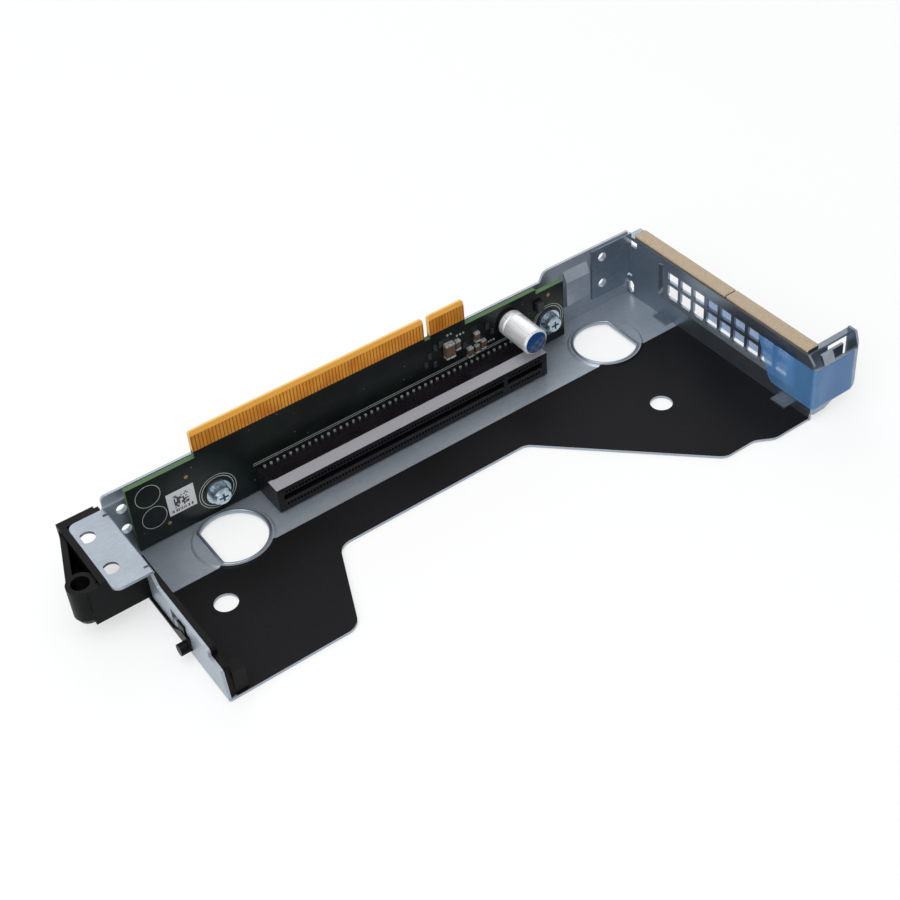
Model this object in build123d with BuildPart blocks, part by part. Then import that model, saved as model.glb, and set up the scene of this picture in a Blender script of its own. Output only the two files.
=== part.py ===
from build123d import *
import os

os.makedirs("parts", exist_ok=True)

# A riser for a flat server: a sheet metal tray that carries a plug-in card with a card slot.
# Millimetres. X runs along the slot, Y from the open edge of the tray to its back wall, Z up.
# The origin is the middle of the left screw hole, on the underside of the tray.

# sheet metal
sheet = 0.8
bend = 1.0
small_round = 1.4

# tray: lengths along X from the left flange, depths along Y from the back wall
tray_length = 173.6
hole_from_flange = 14.5
hole_from_back = 33.3
front_depth = 60.7
front_length = 36.3
neck_depth = 34.6
neck_length = 47.15
neck_to_wall = 66.3
toe_depth = 72.9
toe_to_wall = 27.7
heel_depth = 75.9
heel_to_wall = 12.3
heel_slope = 5.2
outline_round = 4.5

# floor openings
screw_hole_r = 3.2
right_hole_to_wall = 26.6
right_hole_depth = 45.3
finger_r = 9.25
finger_flat = 6.4
finger_corner = 1.5
finger_depth = 14.6
finger_from_flange = 27.1
finger_to_wall = 21.6
rim_w = 1.95
rim_rise = 0.6

# left flange, with a tab bent outwards at its top
flange_h = 12.2
flange_nose_h = 10.1
flange_nose_l = 6.7
tab_h = 17.0
tab_w = 9.7
tab_l = 27.5
tab_round = 2.2
tab_hole_r = 2.1
tab_hole_flat = 1.5
tab_hole_inset = 2.6
tab_hole_depths = (6.7, 20.0)
relief_w = 0.8
relief_l = 1.6
relief_inset = 2.4
window_l = 7.8
window_from_front = 18.4
window_low = 4.6
window_h = 5.6
hook_l = 3.0
hook_h = 2.6
hook_inset = 0.7
button_from_front = 18.4
button_z = 3.9
button_r = 1.6
button_reach = 2.9
latch_reach = 0.5
latch_l = 3.4
play = 0.1

# back wall and the plate behind it
wall_gap_right = 30.1
pair_hole_from_flange = 4.9
pair_hole_low = 7.0
pair_hole_pitch = 7.1
pair_hole_r = 1.5
plate_h = 19.9
plate_inset = 0.6
plate_high = 23.0
plate_high_length = 31.5
plate_step_w = 1.6
boss_from_step = 6.9
boss_w = 8.7
boss_low = 6.5
boss_h = 13.1
boss_rise = 1.6
boss_slope = 3.3
boss_slope_low = 1.5

# vented bracket at the right
wall_h = 21.8
wall_length = 77.0
wall_end_slope = 3.4
lip_w = 5.0
wing_w = 14.4
wing_low = 4.9
wing_h = 17.5
wing_hole_inset = 10.5
wing_hole_low = 9.4
wing_hole_pitch = 9.5
panel_start = 13.3
panel_length = 56.4
panel_low = 7.2
panel_h = 12.6
panel_slope_low = 2.0
panel_slope = 0.7
panel_rise = 1.0
vent_start = 18.5
vent_pitch = 5.6
vent_count = 9
vent_w = 4.4
vent_rows = ((8.4, 4.1), (13.8, 3.2))
corner_notch_w = 1.3
corner_notch_low = 7.4
corner_notch_h = 0.8
corner_slot_w = 2.5
corner_slot_low = 1.5
corner_slot_h = 4.1
corner_slot_inset = -0.3
corner_slot_bevel = 0.8
wall_slot_w = 3.4
wall_slot_low = 18.5
wall_slot_h = 2.1
flap_w = 16.7
flap_h = 18.4
flap_low = 4.2
flap_foot_low = 2.6
flap_foot_w = 4.6
flap_foot_slope = 3.0
flap_corner = 2.0
return_w = 4.4
return_h = 23.0
return_round = 1.6
strip_w = 1.8
tongue_start = 3.4
tongue_w = 4.0
tongue_gap = 1.2
cup_low = 8.0
cup_high = 17.5
cup_step = 8.0
foot_w = 2.6
foot_l = 5.4
foot_starts = (14.2, 63.7)

# film on the floor, gasket on the lip, film on the flap
film = 0.25
film_depth = 21.9
film_play = 1.4
gasket_h = 1.0
gasket_w = 4.4
gasket_inset = 0.4
gasket_start = 1.5
label_t = 0.15
label_margin = 0.4
label_edge = 2.0
label_inside = 17.0
label_slant = 5.0
label_outside = 36.2

# circuit board with its card edge
board_t = 1.57
board_lift = 0.4
standoff_l = 2.13
board_left = 19.75
board_h = 21.1
board_right_drop = 1.55
board_right_w = 9.9
board_margin = 5.8
card_from_flange = 25.5
long_tongue = 71.65
key_w = 1.9
short_tongue = 11.65
tongue_h = 8.4
key_h = 1.0
tongue_round = 0.7
bevel = 0.45
bevel_h = 1.3
pin_pitch = 1.0
long_pins = int(long_tongue / pin_pitch)
short_pins = int(short_tongue / pin_pitch)
pad_w = 0.7
pad_low = 2.0
pad_t = 0.05

# slot
slot_from_card = 15.67
slot_length = 89.0
slot_depth = 11.25
slot_h = 7.65
slot_lift = 0.2
slot_base_drop = 0.85
slot_base_lift = 0.6
band_depth = 4.3
slot_end = 1.4
mouth_w = 1.8
mouth_floor = 2.4
mouth_long = 72.0
mouth_key = 1.3
mouth_short = 12.2
mouth_start = 1.75
mouth_lead = 0.4
cell_w = 0.6
cell_h = 0.8
cell_depth = 1.6
cell_offset = 2.1
contact_w = 0.5
contact_t = 0.2
contact_l = 6.6
tail_pitch = 2.0
tail_start = 2.7
tail_r = 0.32
tail_h = 0.4
tail_gap = 0.35

# capacitor
can_r = 4.0
can_l = 12.1
can_from_slot_end = 4.7
can_above_slot = 7.1
can_round = 0.5
seal_h = 0.9
seal_inset = 0.35
crimp_from_seal = 2.0
crimp_w = 0.35
crimp_depth = 0.3

# screws, washers and standoffs
screw_from_card = 4.25
left_screw_z = 8.1
right_screw_z = 9.4
screw_after_slot = 9.43
head_r = 2.65
head_h = 1.9
head_bevel = 0.5
cross_w = 0.62
cross_l = 2.6
cross_depth = 1.2
shank_r = 1.45
board_hole_r = 1.7
flat_washer_r = 3.6
flat_washer_h = 0.7
spring_washer_r = 2.75
spring_washer_h = 0.8
spring_gap = 0.4
standoff_r = 3.0

# small parts on the board: distance from the capacitor's axis along X, height over its axis,
# then width, length and height
chip_end = 0.55
chip_skin = 0.04
chip_list = [
    (-21.1, 0.8, 3.0, 4.8, 1.7), (-18.1, 1.1, 1.6, 3.2, 1.1), (-11.4, 0.5, 1.6, 3.2, 1.0),
    (-9.4, -3.2, 1.6, 3.2, 0.9), (-14.1, -3.6, 1.7, 3.2, 1.2), (-11.6, -3.7, 1.5, 2.8, 0.9),
]
resistor_size = (1.0, 1.9, 0.5)
resistor_places = [
    (-25.4, 3.5), (-23.6, 3.9), (-27.4, 1.5), (-28.8, -0.9),
    (-25.8, -2.1), (-6.0, -0.5), (-7.6, 2.1), (-15.8, -0.7),
]
solder_r = 0.33
solder_h = 0.18
solder_places = [
    (-20.9, 5.5), (-19.8, 5.5), (-17.8, 3.8), (-16.7, 3.8), (-15.6, 3.8),
    (-8.2, -3.7), (-7.3, -3.7), (-6.4, -3.7), (-5.5, -3.7),
]
block_chip = (2.4, 3.2, 1.3)
block_chip_over_screw = 6.8
block_chip_inset = 9.1
label_w = 7.9
label_h = 7.4
label_from_card = 9.9
label_low = 6.2
paper = 0.08

# plastic guide on the left flange
guide_wall = 1.6
guide_inner_l = 44.0
guide_inner_gap = 0.5
guide_foot_w = 3.4
guide_foot_l = 3.5
guide_foot_h = 8.6
guide_low = 4.8
guide_back = 2.6
guide_back_low = 9.5
guide_back_gap = 1.3
guide_top = 2.0
guide_rim = 1.8
guide_web_low = 7.6
guide_slant = 6.8
guide_boss_r = 3.7
guide_boss_foot = 1.8
guide_boss_hole_r = 2.4
guide_boss_from_tab = 5.3
guide_boss_depth = 19.1
guide_front_depth = 21.5
bridge_low = 5.6
bridge_h = 4.0
arm_t = 0.7
arm_low = 3.3
arm_h = 0.9
pad_l = 8.7
pad_front_l = 3.6
pad_high = 7.6

# planes that the parts share
flange_x = -hole_from_flange
wall_x = flange_x + tray_length
back_y = hole_from_back
front_y = back_y - front_depth
heel_y = back_y - heel_depth
end_y = back_y - wall_length
board_y = back_y - standoff_l - board_t
board_low = sheet + board_lift
shoulder_z = board_low + board_h
card_x = flange_x + card_from_flange
card_top = shoulder_z + tongue_h
slot_x = card_x + slot_from_card
slot_end_x = slot_x + slot_length
slot_low = board_low + slot_lift
slot_top = slot_low + slot_h
mouth_z = slot_low + slot_h / 2
slot_face_y = board_y - slot_depth
can_x = slot_end_x - can_from_slot_end
can_z = slot_top + can_above_slot
screws = [(card_x + screw_from_card, left_screw_z), (slot_end_x + screw_after_slot, right_screw_z)]
board_right_x = screws[1][0] + board_margin
right_hole = (wall_x - right_hole_to_wall, back_y - right_hole_depth)
finger_y = back_y - finger_depth
finger_centers = [(flange_x + finger_from_flange, -1), (wall_x - finger_to_wall, 1)]
tray_outline = [
    (flange_x, front_y), (flange_x + front_length, front_y), (flange_x + neck_length, back_y - neck_depth),
    (wall_x - neck_to_wall, back_y - neck_depth), (wall_x - toe_to_wall, back_y - toe_depth),
    (wall_x - heel_to_wall - heel_slope, back_y - toe_depth), (wall_x - heel_to_wall, heel_y),
    (wall_x, heel_y),
]
foot_ys = [(back_y - s, back_y - s - foot_l) for s in foot_starts]


def block(x, y, z, mode=Mode.ADD):
    spans = [sorted(span) for span in (x, y, z)]
    with Locations(tuple(sum(span) / 2 for span in spans)):
        Box(*[span[1] - span[0] for span in spans], mode=mode)


def rod(axis, center, span, radius, mode=Mode.ADD):
    middle = (span[0] + span[1]) / 2
    turn = {"X": (0, 90, 0), "Y": (90, 0, 0), "Z": (0, 0, 0)}[axis]
    place = {"X": (middle, *center), "Y": (center[0], middle, center[1]), "Z": (*center, middle)}[axis]
    with Locations(Location(place, turn)):
        Cylinder(radius, abs(span[1] - span[0]), mode=mode)


def polygon(points, rounds=()):
    with BuildSketch(mode=Mode.PRIVATE) as face:
        with BuildLine():
            Polyline(*points, close=True)
        make_face()
        for index, radius in rounds:
            fillet(face.vertices().sort_by_distance(Vector(*points[index]))[0], radius)
    add(face.sketch)


def flat_circle(radius, flat, side, corner):
    # a round opening with one flat side
    with BuildSketch(mode=Mode.PRIVATE) as face:
        Circle(radius)
        with Locations((side * (flat + radius), 0)):
            Rectangle(2 * radius, 4 * radius, mode=Mode.SUBTRACT)
        if corner:
            fillet(face.vertices(), corner)
    add(face.sketch)


def floor_openings(low, high):
    # both finger openings, cut through a layer of the floor
    for x, side in finger_centers:
        with BuildSketch(Plane((x, finger_y, low)), mode=Mode.PRIVATE) as opening:
            flat_circle(finger_r, finger_flat, side, finger_corner)
        extrude(opening.sketch, amount=high - low, mode=Mode.SUBTRACT)


def finger_rims(low, radius, mode=Mode.ADD):
    for x, side in finger_centers:
        with Locations((x, finger_y, low + rim_rise / 2)):
            Cone(radius, radius - rim_rise, rim_rise, mode=mode)


outline_rounds = [(i, outline_round) for i in range(1, 7)]
rim_r = finger_r + rim_w

with BuildPart() as tray:
    with BuildSketch():
        polygon(tray_outline + [(wall_x, back_y + sheet), (flange_x, back_y + sheet)], outline_rounds)
    extrude(amount=sheet)
    finger_rims(sheet, rim_r)
    finger_rims(0, rim_r - sheet / 2, Mode.SUBTRACT)
    floor_openings(-sheet, 3 * sheet)
    for center in ((0, 0), right_hole):
        rod("Z", center, (-sheet, 2 * sheet), screw_hole_r, Mode.SUBTRACT)
    # left flange
    tab_front = back_y - tab_l
    with BuildSketch(Plane.YZ.offset(flange_x)):
        polygon([
            (back_y + sheet, 0), (back_y + sheet, tab_h), (tab_front + tab_round, tab_h),
            (tab_front + tab_round / 2, (tab_h + flange_h) / 2), (tab_front - bend, flange_h),
            (front_y + flange_nose_l, flange_h), (front_y + flange_nose_l, flange_nose_h),
            (front_y + bend, flange_nose_h), (front_y, 0),
        ], [(4, bend), (5, bend), (7, bend)])
    extrude(amount=sheet)
    # tab
    tab_x = flange_x - tab_w
    with BuildSketch(Plane.XY.offset(tab_h - sheet)):
        polygon([
            (tab_x, tab_front), (flange_x + sheet, tab_front), (flange_x + sheet, back_y), (tab_x, back_y),
        ], [(0, tab_round), (3, tab_round)])
    extrude(amount=sheet)
    for depth in tab_hole_depths:
        with BuildSketch(Plane((tab_x + tab_hole_inset, back_y - depth, tab_h - 2 * sheet))):
            flat_circle(tab_hole_r, tab_hole_flat, -1, 0)
        extrude(amount=3 * sheet, mode=Mode.SUBTRACT)
    # back wall
    block((flange_x, wall_x - wall_gap_right), (back_y, back_y + sheet), (0, tab_h))
    # bends along the flange, the tab and the back wall
    outer_bend = 0.9 * sheet
    for axis, place, radius in (
        (Axis.Y, (flange_x, None, 0), bend),
        (Axis.Y, (flange_x + sheet, None, tab_h), outer_bend),
        (Axis.X, (None, back_y + sheet, 0), outer_bend),
    ):
        fillet([
            edge for edge in tray.edges().filter_by(axis)
            if all(goal is None or abs(is_at - goal) < 0.01 for is_at, goal in zip(edge.center(), place))
        ], radius)
    for row in range(2):
        rod("Y", (flange_x + pair_hole_from_flange, pair_hole_low + row * pair_hole_pitch),
            (back_y - sheet, back_y + 2 * sheet), pair_hole_r, Mode.SUBTRACT)
    # openings of the flange for the guide's latch, bridge and button
    window_y = (front_y + window_from_front, front_y + window_from_front + window_l)
    window_z = (window_low, window_low + window_h)
    bridge_y = (back_y - guide_front_depth - guide_wall, back_y - guide_front_depth)
    bridge_z = (bridge_low, bridge_low + bridge_h)
    button_center = (front_y + button_from_front, button_z)
    flange_cut = (flange_x - sheet, flange_x + 2 * sheet)
    hook_y = (window_y[1] - hook_inset - hook_l, window_y[1] - hook_inset)
    block(flange_cut, window_y, window_z, Mode.SUBTRACT)
    block((flange_x, flange_x + sheet), hook_y, (window_low, window_low + hook_h))
    block(flange_cut, (bridge_y[0] - play, bridge_y[1] + play), (bridge_z[0] - play, bridge_z[1] + play),
          Mode.SUBTRACT)
    rod("X", button_center, flange_cut, button_r + play, Mode.SUBTRACT)
    # relief cuts at both ends of the tab's bend
    for y in (back_y - relief_inset, tab_front + relief_inset):
        block((flange_x - relief_l / 2, flange_x + relief_l / 2), (y - relief_w / 2, y + relief_w / 2),
              (tab_h - 2 * sheet, tab_h + sheet), Mode.SUBTRACT)

with BuildPart() as rear_plate:
    plate_y = back_y + sheet
    step_x = wall_x - plate_high_length
    boss_x = (step_x + boss_from_step, step_x + boss_from_step + boss_w)
    with BuildSketch(Plane.XZ.offset(-plate_y - sheet)):
        polygon([
            (flange_x + plate_inset, 0), (wall_x, 0), (wall_x, plate_high), (step_x, plate_high),
            (step_x - plate_step_w, plate_h), (flange_x + plate_inset, plate_h),
        ], [(3, 2 * small_round), (5, small_round)])
    extrude(amount=sheet)
    # boss pressed forwards
    for depth, inset, mode in ((plate_y, 0, Mode.ADD), (plate_y + sheet, sheet, Mode.SUBTRACT)):
        with BuildSketch(Plane.YZ.offset(boss_x[0] + inset)):
            polygon([
                (depth, boss_low), (depth - boss_rise, boss_low + boss_slope_low),
                (depth - boss_rise, boss_low + boss_h - boss_slope), (depth, boss_low + boss_h),
            ])
        extrude(amount=boss_w - 2 * inset, mode=mode)
    wing_hole_x = wall_x - wing_hole_inset
    plate_cut = (back_y, back_y + 3 * sheet)
    for row in range(2):
        rod("Y", (flange_x + pair_hole_from_flange, pair_hole_low + row * pair_hole_pitch),
            plate_cut, pair_hole_r, Mode.SUBTRACT)
        rod("Y", (wing_hole_x, wing_hole_low + row * wing_hole_pitch), plate_cut, pair_hole_r, Mode.SUBTRACT)

with BuildPart() as vent_bracket:
    outer_x = wall_x + sheet
    flap_x = wall_x + flap_w
    return_x = flap_x - sheet
    lip_end = end_y + wall_end_slope
    lip_z = wall_h - sheet
    # wall, flap and return are one strip with two bends, seen from above
    with BuildSketch():
        polygon([
            (wall_x, back_y + sheet), (wall_x, end_y), (flap_x, end_y), (flap_x, end_y + return_w),
            (return_x, end_y + return_w), (return_x, end_y + sheet), (outer_x, end_y + sheet),
            (outer_x, back_y + sheet),
        ], [(1, bend), (2, bend), (5, bend - sheet), (6, bend - sheet)])
    extrude(amount=return_h)
    # top edges of the wall, the flap and the return
    with BuildSketch(Plane.YZ.offset(wall_x)):
        polygon([
            (back_y + sheet, wall_h), (lip_end, wall_h), (end_y, flap_h), (end_y, return_h),
            (back_y + sheet, return_h),
        ])
    extrude(amount=return_x - wall_x, mode=Mode.SUBTRACT)
    block((wall_x, return_x), (end_y, end_y + bend), (flap_h, wall_h), Mode.SUBTRACT)
    with BuildSketch(Plane.YZ.offset(return_x)):
        polygon([(end_y, flap_h), (end_y + return_round, return_h), (end_y, return_h)])
        polygon([
            (end_y, 0), (end_y, flap_low + flap_corner),
            (end_y + return_w, flap_low + 2 * flap_corner), (end_y + return_w, 0),
        ])
    extrude(amount=sheet, mode=Mode.SUBTRACT)
    # lower edge of the flap
    with BuildSketch(Plane.XZ.offset(-end_y - bend)):
        polygon([
            (wall_x, 0), (wall_x, flap_foot_low), (wall_x + flap_foot_w, flap_foot_low),
            (wall_x + flap_foot_w + flap_foot_slope, flap_low), (flap_x - flap_corner, flap_low),
            (flap_x, flap_low + flap_corner), (flap_x, 0),
        ], [(2, bend), (3, bend)])
    extrude(amount=bend, mode=Mode.SUBTRACT)
    # lip bent outwards along the top
    block((wall_x, wall_x + lip_w), (lip_end, back_y + sheet), (lip_z, wall_h))
    # wing bent along the back wall
    block((wall_x - wing_w, outer_x), (back_y, back_y + sheet), (wing_low, wing_low + wing_h))
    # panel pressed outwards
    panel_mid = (back_y - panel_start - panel_length / 2, panel_low + panel_h / 2)
    flat_h = panel_h - panel_slope_low - panel_slope
    flat_mid = (panel_mid[0], panel_low + panel_slope_low + flat_h / 2)
    for foot, mode in ((outer_x, Mode.ADD), (wall_x, Mode.SUBTRACT)):
        with BuildSketch(Plane.YZ.offset(foot)):
            with Locations(panel_mid):
                RectangleRounded(panel_length, panel_h, small_round)
        with BuildSketch(Plane.YZ.offset(foot + panel_rise)):
            with Locations(flat_mid):
                RectangleRounded(panel_length - 2 * panel_slope, flat_h, small_round)
        loft(mode=mode)
    # two rows of vents
    vent_ys = [back_y - vent_start - i * vent_pitch for i in range(vent_count)]
    for low, height in vent_rows:
        with Locations(*[(outer_x, y, low + height / 2) for y in vent_ys]):
            Box(4 * sheet + panel_rise, vent_w, height, mode=Mode.SUBTRACT)
    # notch and slots beside the back corner
    corner_cut = (wall_x - sheet, wall_x + 2 * sheet)
    block(corner_cut, (back_y - corner_notch_w, back_y + 2 * sheet),
          (corner_notch_low, corner_notch_low + corner_notch_h), Mode.SUBTRACT)
    block(corner_cut, (back_y - wall_slot_w, back_y), (wall_slot_low, wall_slot_low + wall_slot_h),
          Mode.SUBTRACT)
    corner_slot_mid = (back_y - corner_slot_inset - corner_slot_w / 2, corner_slot_low + corner_slot_h / 2)
    with BuildSketch(Plane.YZ.offset(corner_cut[0])) as corner_slot:
        with Locations(corner_slot_mid):
            Rectangle(corner_slot_w, corner_slot_h)
        chamfer(corner_slot.vertices(), corner_slot_bevel)
    extrude(amount=corner_cut[1] - corner_cut[0], mode=Mode.SUBTRACT)
    for row in range(2):
        rod("Y", (wing_hole_x, wing_hole_low + row * wing_hole_pitch), (back_y - sheet, back_y + 2 * sheet),
            pair_hole_r, Mode.SUBTRACT)
    # strip from the lip to the return, and a tongue leaning back from the flap
    block((wall_x + lip_w - small_round, flap_x), (lip_end, lip_end + strip_w), (lip_z, wall_h))
    with BuildSketch(Plane.YZ.offset(wall_x + tongue_start)):
        polygon([
            (end_y, flap_h - sheet), (end_y, flap_h), (end_y + small_round, lip_z),
            (lip_end - tongue_gap, lip_z), (end_y + sheet, flap_h), (end_y + sheet, flap_h - sheet),
        ])
    extrude(amount=tongue_w)
    # wall down from the strip, behind the flap
    cup_y = (lip_end + strip_w - sheet, lip_end + strip_w)
    block((outer_x, outer_x + cup_step), cup_y, (cup_low, lip_z))
    block((outer_x, return_x - sheet), cup_y, (cup_low, cup_high))
    # feet on the floor
    for span in foot_ys:
        block((wall_x - foot_w, wall_x), span, (sheet, 2 * sheet))

with BuildPart() as insulator_film:
    film_x = flange_x + sheet + guide_wall
    film_y = back_y - film_depth
    with BuildSketch(Plane.XY.offset(sheet)):
        polygon([(film_x, front_y)] + tray_outline[1:] + [(wall_x, film_y), (film_x, film_y)], outline_rounds)
    extrude(amount=film)
    finger_rims(sheet + film, rim_r)
    finger_rims(sheet, rim_r, Mode.SUBTRACT)
    block((film_x, wall_x), (film_y, back_y + sheet), (0, 4 * sheet), Mode.SUBTRACT)
    for x, side in finger_centers:
        rod("Z", (x, finger_y), (0, 4 * sheet), finger_r + film_play, Mode.SUBTRACT)
    for center in ((0, 0), right_hole):
        rod("Z", center, (0, 2 * sheet), screw_hole_r, Mode.SUBTRACT)
    for span in foot_ys:
        block((wall_x - foot_w, wall_x), span, (0, 2 * sheet), Mode.SUBTRACT)

with BuildPart() as emi_gasket:
    block((wall_x + gasket_inset, wall_x + gasket_inset + gasket_w),
          (lip_end + gasket_inset, back_y - gasket_start), (wall_h, wall_h + gasket_h))
    fillet(emi_gasket.edges().filter_by(Axis.Y).group_by(Axis.Z)[-1], gasket_h / 3)

with BuildPart() as touch_label:
    label_z = (flap_low + label_margin, flap_h - label_margin)
    label_corner = (wall_x + bend, end_y + bend)
    # over the flap, round its bend and onto the wall's inner face
    block((label_corner[0], flap_x - label_edge), (end_y - label_t, end_y), label_z)
    with BuildSketch(Plane.XY.offset(label_z[0])):
        with BuildLine():
            CenterArc(label_corner, bend, 180, 90)
            CenterArc(label_corner, bend + label_t, 180, 90)
            Line((wall_x, label_corner[1]), (wall_x - label_t, label_corner[1]))
            Line((label_corner[0], end_y), (label_corner[0], end_y - label_t))
        make_face()
    extrude(amount=label_z[1] - label_z[0])
    with BuildSketch(Plane.YZ.offset(wall_x - label_t)):
        polygon([
            (label_corner[1], label_z[0]), (label_corner[1], label_z[1]),
            (end_y + label_inside + label_slant, label_z[1]),
            (end_y + label_inside, label_z[0] + small_round),
            (end_y + label_inside - small_round, label_z[0]),
        ])
    extrude(amount=label_t)
    # over the vents on the outer face
    panel_top = panel_low + panel_h - panel_slope
    panel_end = back_y - panel_start - panel_length + panel_slope
    block((outer_x + panel_rise, outer_x + panel_rise + label_t), (panel_end, panel_end + label_outside),
          (panel_low + panel_slope_low, panel_top))

with BuildPart() as guide:
    inner_x = flange_x + sheet
    top_z = tab_h - sheet
    guide_x = tab_x - guide_rim
    rear_y = back_y + guide_back
    # wall inside the flange
    with BuildSketch(Plane.YZ.offset(inner_x)):
        polygon([
            (front_y + guide_inner_gap, sheet), (front_y + guide_inner_gap + guide_inner_l, sheet),
            (front_y + guide_inner_gap + guide_inner_l, flange_h), (front_y + flange_nose_l, flange_h),
            (front_y + flange_nose_l, flange_nose_h), (front_y + guide_inner_gap + bend, flange_nose_h),
        ], [(3, bend), (5, bend)])
    extrude(amount=guide_wall)
    foot_x = inner_x + guide_wall
    block((foot_x, foot_x + guide_foot_w),
          (front_y + guide_inner_gap, front_y + guide_inner_gap + guide_foot_l), (sheet + film, guide_foot_h))
    # bridge, latch and button through the flange
    block((flange_x - guide_wall, inner_x), bridge_y, bridge_z)
    block((flange_x - latch_reach, inner_x), (window_y[0] + play, window_y[0] + latch_l),
          (window_z[0] + play, window_z[1] - play))
    rod("X", button_center, (flange_x - button_reach, inner_x), button_r)
    # arm along the flange to the button
    pad_y = button_center[0] - button_r
    with BuildSketch(Plane.YZ.offset(flange_x - arm_t)):
        polygon([
            (bridge_y[1], guide_low), (bridge_y[1], arm_low), (pad_y, arm_low), (pad_y, pad_high),
            (pad_y + pad_front_l, pad_high), (pad_y + pad_l, arm_low + arm_h), (bridge_y[0], arm_low + arm_h),
            (bridge_y[0], guide_low),
        ])
    extrude(amount=arm_t)
    # top frame under the tab, with a window below its holes
    block((guide_x, flange_x), (bridge_y[0], rear_y), (top_z - guide_top, top_z))
    well_x = (tab_x + play, flange_x - guide_wall)
    block(well_x, (bridge_y[1], back_y - guide_wall), (guide_low, top_z + sheet), Mode.SUBTRACT)
    block((guide_x, tab_x), (bridge_y[0], rear_y), (guide_web_low, tab_h))
    block((guide_x, flange_x - guide_back_gap), (back_y, rear_y), (guide_back_low, tab_h))
    block(well_x, (back_y - guide_wall, rear_y), (guide_back_low, top_z - guide_top), Mode.SUBTRACT)
    # front wall and ledge
    boss_center = (tab_x - guide_boss_from_tab, back_y - guide_boss_depth)
    block((boss_center[0], flange_x), bridge_y, (guide_low, top_z))
    web_z = (guide_web_low, guide_web_low + guide_wall)
    block((guide_x, flange_x - play), (bridge_y[1], bridge_y[1] + guide_wall), web_z)
    # outer wall slanting to the boss, and the web behind it
    slant = [(guide_x, rear_y - guide_wall), (guide_x - guide_slant, boss_center[1] + guide_wall / 2)]
    web_end = (guide_x + guide_wall, rear_y - guide_wall)
    with BuildSketch(Plane.XY.offset(guide_low)):
        polygon(slant + [(slant[1][0] + guide_wall, slant[1][1] - guide_wall / 2), web_end])
    extrude(amount=top_z - guide_low)
    with BuildSketch(Plane.XY.offset(guide_web_low)):
        polygon(slant + [(boss_center[0], bridge_y[0]), (web_end[0], bridge_y[0]), web_end])
    extrude(amount=guide_wall)
    rod("Z", boss_center, (guide_low + guide_boss_foot, top_z), guide_boss_r)
    with Locations((*boss_center, guide_low + guide_boss_foot / 2)):
        Cone(guide_boss_r - guide_boss_foot / 2, guide_boss_r, guide_boss_foot)
    rod("Z", boss_center, (0, tab_h), guide_boss_hole_r, Mode.SUBTRACT)

with BuildPart() as circuit_board:
    board_x = (card_x - board_left, board_right_x)
    key_x = card_x + long_tongue
    short_x = key_x + key_w
    tip_x = short_x + short_tongue
    with BuildSketch(Plane.XZ.offset(-board_y - board_t)):
        polygon([
            (board_x[0], board_low), (board_x[1], board_low), (board_x[1], shoulder_z - board_right_drop),
            (board_x[1] - board_right_w, shoulder_z - board_right_drop),
            (board_x[1] - board_right_w, shoulder_z),
            (tip_x, shoulder_z), (tip_x, card_top), (short_x, card_top), (short_x, shoulder_z + key_h),
            (key_x, shoulder_z + key_h), (key_x, card_top), (card_x, card_top), (card_x, shoulder_z),
            (board_x[0], shoulder_z),
        ], [(i, tongue_round) for i in (6, 7, 10, 11)])
    extrude(amount=board_t)
    # bevels on both faces of the card edge
    for face_y, into in ((board_y, bevel), (board_y + board_t, -bevel)):
        with BuildSketch(Plane.YZ.offset(card_x - bevel)):
            polygon([
                (face_y - into, card_top - bevel_h), (face_y, card_top - bevel_h), (face_y + into, card_top),
                (face_y + into, card_top + bevel), (face_y - into, card_top + bevel),
            ])
        extrude(amount=tip_x - card_x + 2 * bevel, mode=Mode.SUBTRACT)
    for center in screws:
        rod("Y", center, (board_y - board_t, board_y + 2 * board_t), board_hole_r, Mode.SUBTRACT)


def pin_row(start, length, pins):
    first = start + (length - (pins - 1) * pin_pitch) / 2
    return [first + i * pin_pitch for i in range(pins)]


pad_xs = pin_row(card_x, long_tongue, long_pins) + pin_row(short_x, short_tongue, short_pins)
pad_span = (shoulder_z + pad_low, card_top - bevel_h)
with BuildPart() as edge_contacts_front:
    with Locations(*[(x, board_y - pad_t / 2, sum(pad_span) / 2) for x in pad_xs]):
        Box(pad_w, pad_t, pad_span[1] - pad_span[0])

with BuildPart() as edge_contacts_rear:
    with Locations(*[(x, board_y + board_t + pad_t / 2, sum(pad_span) / 2) for x in pad_xs]):
        Box(pad_w, pad_t, pad_span[1] - pad_span[0])

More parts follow.
